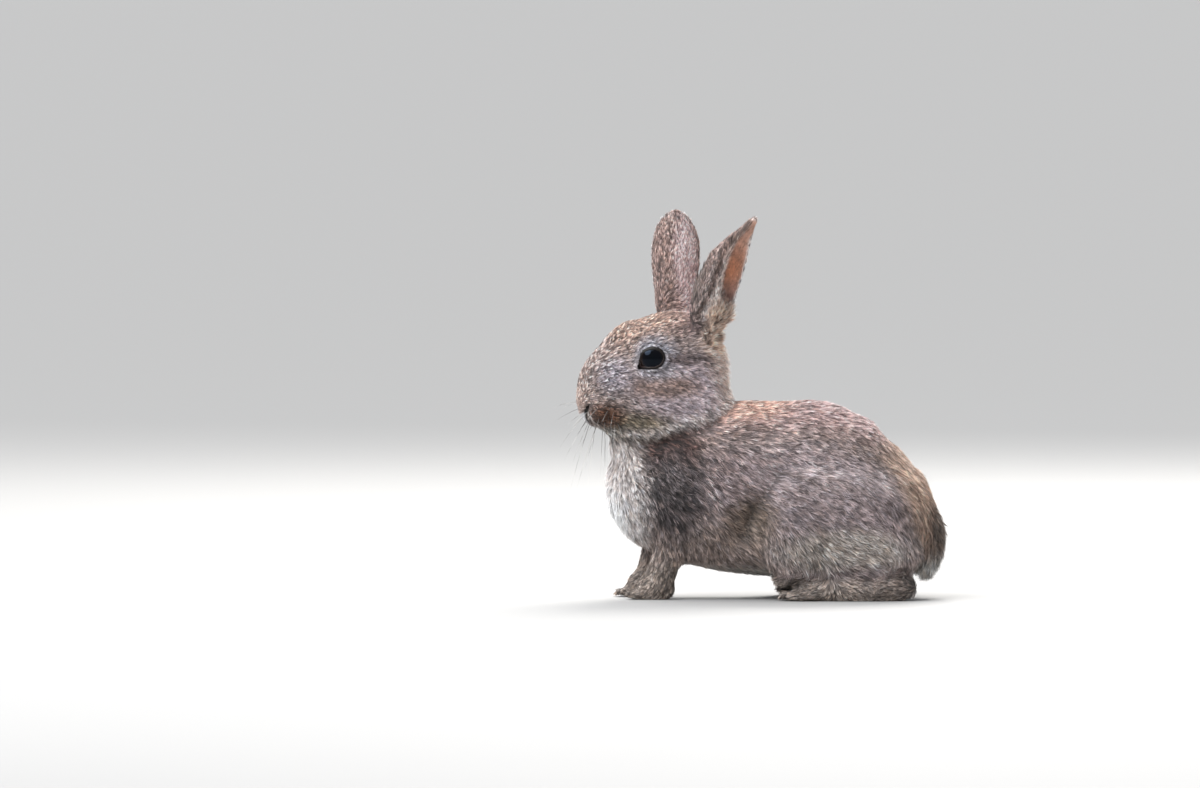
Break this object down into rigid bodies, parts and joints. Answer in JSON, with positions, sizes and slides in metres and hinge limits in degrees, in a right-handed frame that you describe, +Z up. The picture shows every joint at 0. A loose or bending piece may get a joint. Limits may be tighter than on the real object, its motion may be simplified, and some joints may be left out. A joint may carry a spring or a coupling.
{
  "type": "young rabbit",
  "caption": "Still, life-size young wild rabbit sitting crouched with its head up and ears raised, resting on its four feet.",
  "frame": {"origin": "on the ground, at the middle of the length and the breadth of the whole rabbit with its whiskers", "axes": "+Z up, the nose points along -X, the rabbit's left side faces -Y"},
  "size_m": [0.2058, 0.086, 0.2006],
  "materials": {
    "coat_upper": "grey-brown ticked fur",
    "coat_pale": "paler, greyer fur of the flanks and limbs",
    "ear_skin": "short-furred thin skin, pink inside",
    "eye": "wet, very dark brown"
  },
  "bodies": {
    "root": {"head": "coat_upper", "neck": "coat_upper", "trunk": "coat_upper", "tail": "coat_upper", "thigh_left": "coat_pale", "thigh_right": "coat_pale", "upper_foreleg_left": "coat_pale", "upper_foreleg_right": "coat_pale", "foreleg_left": "coat_pale", "foreleg_right": "coat_pale", "hind_foot_left": "coat_pale", "hind_foot_right": "coat_pale", "ear_left": "ear_skin", "ear_right": "ear_skin", "eye_left": "eye", "eye_right": "eye"}
  },
  "joints": []
}
